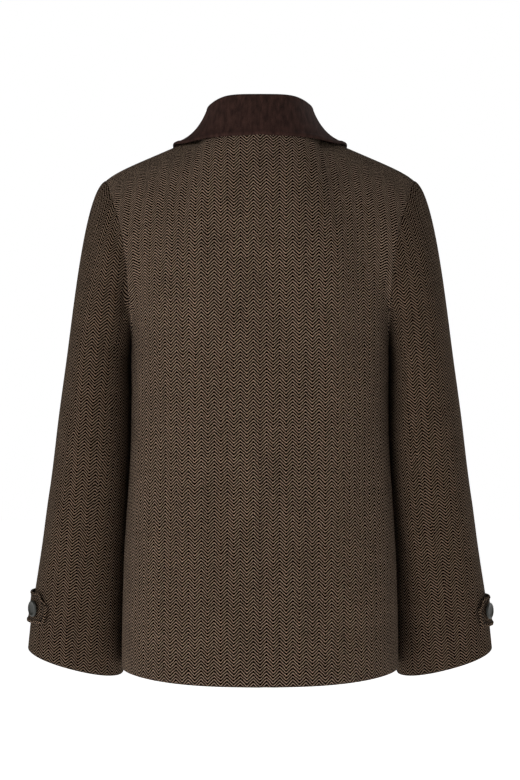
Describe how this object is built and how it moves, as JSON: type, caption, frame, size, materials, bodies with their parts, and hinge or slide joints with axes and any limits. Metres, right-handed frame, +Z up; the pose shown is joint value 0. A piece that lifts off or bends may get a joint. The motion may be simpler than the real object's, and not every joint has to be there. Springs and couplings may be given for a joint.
{
  "type": "wool jacket",
  "caption": "Hip-length herringbone wool jacket with a turned-down fine cord collar and buttoned cuff tabs, filled out as worn and hollow inside.",
  "frame": {"origin": "midway between the two side neck points, at their height, where the jacket is held up", "axes": "+Z up, -Y towards the jacket's front, +X towards the wearer's left"},
  "size_m": [0.5889, 0.2689, 0.7197],
  "materials": {
    "tweed": "herringbone woollen cloth, light beige on near black brown",
    "cord": "very fine wale cotton cord with a short nap, dark brown",
    "button": "dark grey green horn-like button, low gloss"
  },
  "bodies": {
    "root": {"back_left": "tweed", "back_right": "tweed", "front_left": "tweed", "front_right": "tweed", "sleeve_top_left": "tweed", "sleeve_top_right": "tweed", "sleeve_under_left": "tweed", "sleeve_under_right": "tweed", "cuff_tab_left": "tweed", "cuff_tab_right": "tweed", "collar": "cord", "cuff_button_left": "button", "cuff_button_right": "button", "front_button_1": "button", "front_button_2": "button", "front_button_3": "button", "front_button_4": "button"}
  },
  "joints": []
}
